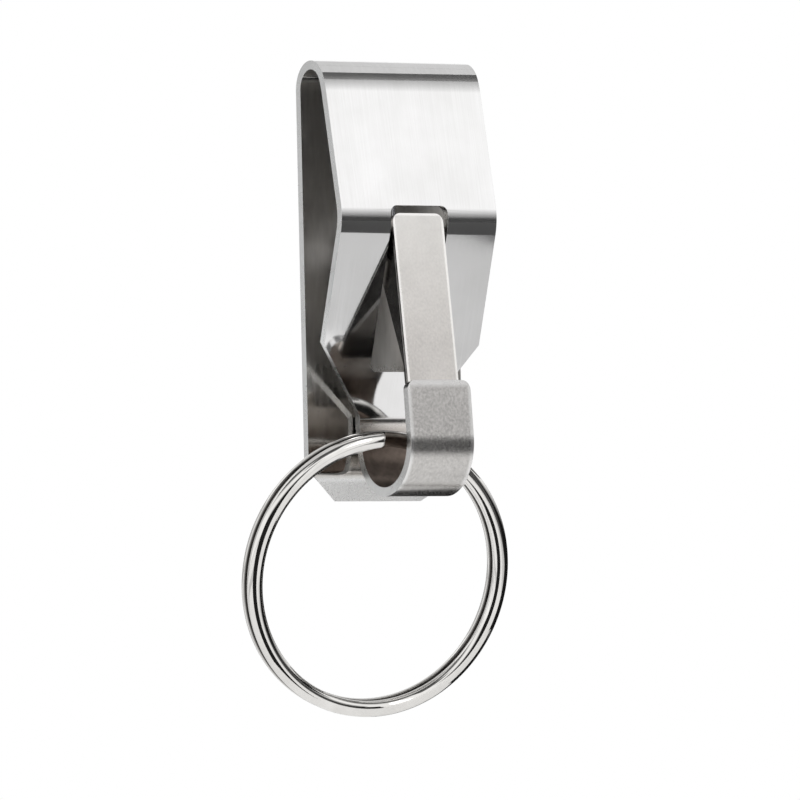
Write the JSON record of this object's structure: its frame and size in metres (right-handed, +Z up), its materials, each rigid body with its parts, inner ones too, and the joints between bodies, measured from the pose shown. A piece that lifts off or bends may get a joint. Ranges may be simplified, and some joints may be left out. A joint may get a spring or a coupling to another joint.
{
  "type": "belt key clip",
  "caption": "Sprung steel key clip that slides over a belt from above, with a gated hook at its foot carrying a split ring.",
  "frame": {"origin": "where the belt's top edge seats under the top bend: on the back plate's front face, on the centre line", "axes": "+X across the clip to the right as seen from the front, +Y back towards the wearer, +Z up"},
  "size_m": [0.0388, 0.0187, 0.0883],
  "materials": {
    "strip_steel": "nickel plated spring steel, finely brushed outside, polished inside",
    "gate_steel": "satin nickel, tumbled edges",
    "pin_steel": "plain bright steel",
    "spring_steel": "drawn spring wire",
    "ring_plate": "bright nickel plate"
  },
  "bodies": {
    "clip": {"clip_body": "strip_steel", "gate_pin": "pin_steel", "gate_spring": "spring_steel"},
    "gate": {"gate_lever": "gate_steel"},
    "ring": {"split_ring": "ring_plate"}
  },
  "joints": [
    {"name": "gate_pivot", "type": "hinge", "parent": "clip", "child": "gate", "pos_m": [0, -0.00663, -0.02415], "axis": [1, 0, 0], "range_deg": [0, 28], "stiffness_Nm_per_rad": 0.02, "springref_deg": -20.05, "deforming": ["gate_spring"]},
    {"name": "ring_swing", "type": "hinge", "parent": "clip", "child": "ring", "pos_m": [0, -0.00806, -0.05039], "axis": [1, 0, 0], "range_deg": [-80, 50]}
  ]
}
